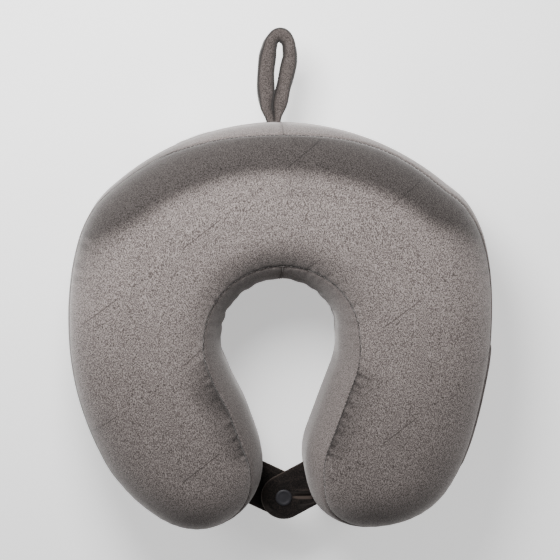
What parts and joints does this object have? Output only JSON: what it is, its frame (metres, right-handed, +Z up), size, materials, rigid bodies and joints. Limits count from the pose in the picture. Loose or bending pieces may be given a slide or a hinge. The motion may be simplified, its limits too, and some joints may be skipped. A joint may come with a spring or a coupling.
{
  "type": "travel neck pillow",
  "caption": "U-shaped travel neck pillow with a velour cover, side band, hanging loop, phone pocket, back zipper and two straps that snap together across the open end.",
  "frame": {"origin": "bottom centre of the whole object's box, on the surface that the pillow lies on", "axes": "+Z up, away from the bottom panel; +Y towards the back of the neck and the hanging loop; the open end is at -Y"},
  "size_m": [0.3022, 0.355, 0.11],
  "materials": {
    "velour": "short dense pile velour, warm taupe grey",
    "strap_velour": "short pile velour, very dark brown, nearly black",
    "loop_ribbon": "woven polyester ribbon, taupe grey",
    "label_satin": "blank woven satin",
    "liner_knit": "thin off-white knit",
    "foam": "open-cell memory foam, cream",
    "elastic": "braided elastic",
    "zipper_tape": "woven polyester tape",
    "zipper_coil": "nylon coil",
    "zipper_metal": "painted zinc die casting, satin",
    "snap_plastic": "moulded acetal, satin"
  },
  "bodies": {
    "pillow": {"foam_core": "foam", "liner_upper": "liner_knit", "liner_lower": "liner_knit", "cover_top_panel": "velour", "cover_bottom_panel": "velour", "side_band_left": "velour", "side_band_right": "velour", "neck_elastic": "elastic", "zipper_tape_upper": "zipper_tape", "zipper_tape_lower": "zipper_tape", "zipper_coil_upper": "zipper_coil", "zipper_coil_lower": "zipper_coil", "zipper_stop_closed": "zipper_metal", "zipper_stop_open": "zipper_metal", "pocket_panel": "velour", "pocket_hem": "velour", "care_label": "label_satin"},
    "slider": {"zipper_slider": "zipper_metal"},
    "pull_tab": {"zipper_pull_tab": "zipper_metal"},
    "loop": {"hang_loop": "loop_ribbon"},
    "left_strap": {"strap_left": "strap_velour", "snap_stud": "snap_plastic", "snap_back_cap": "snap_plastic"},
    "right_strap": {"strap_right": "strap_velour", "snap_socket": "snap_plastic", "snap_cap": "snap_plastic"}
  },
  "joints": [
    {"name": "zipper_run", "type": "hinge", "parent": "pillow", "child": "slider", "pos_m": [0, -0.0685, 0.01468], "axis": [0, 0, -1], "range_deg": [0, 72.4]},
    {"name": "pull_tab_flip", "type": "hinge", "parent": "slider", "child": "pull_tab", "pos_m": [-0.1024, 0.07141, 0.0136], "axis": [-0.3625, 0.4953, 0.7895], "range_deg": [0, 175]},
    {"name": "loop_swing", "type": "hinge", "parent": "pillow", "child": "loop", "pos_m": [0, 0.114, 0.055], "axis": [0, 0, 1], "range_deg": [-70, 70]},
    {"name": "right_strap_lift", "type": "hinge", "parent": "pillow", "child": "right_strap", "pos_m": [0.01664, -0.15254, 0.0501], "axis": [-0.4723, 0.8814, 0], "range_deg": [0, 60]},
    {"name": "left_strap_drop", "type": "hinge", "parent": "pillow", "child": "left_strap", "pos_m": [-0.01575, -0.15081, 0.0436], "axis": [0.4383, 0.8988, 0], "range_deg": [0, 60]}
  ]
}
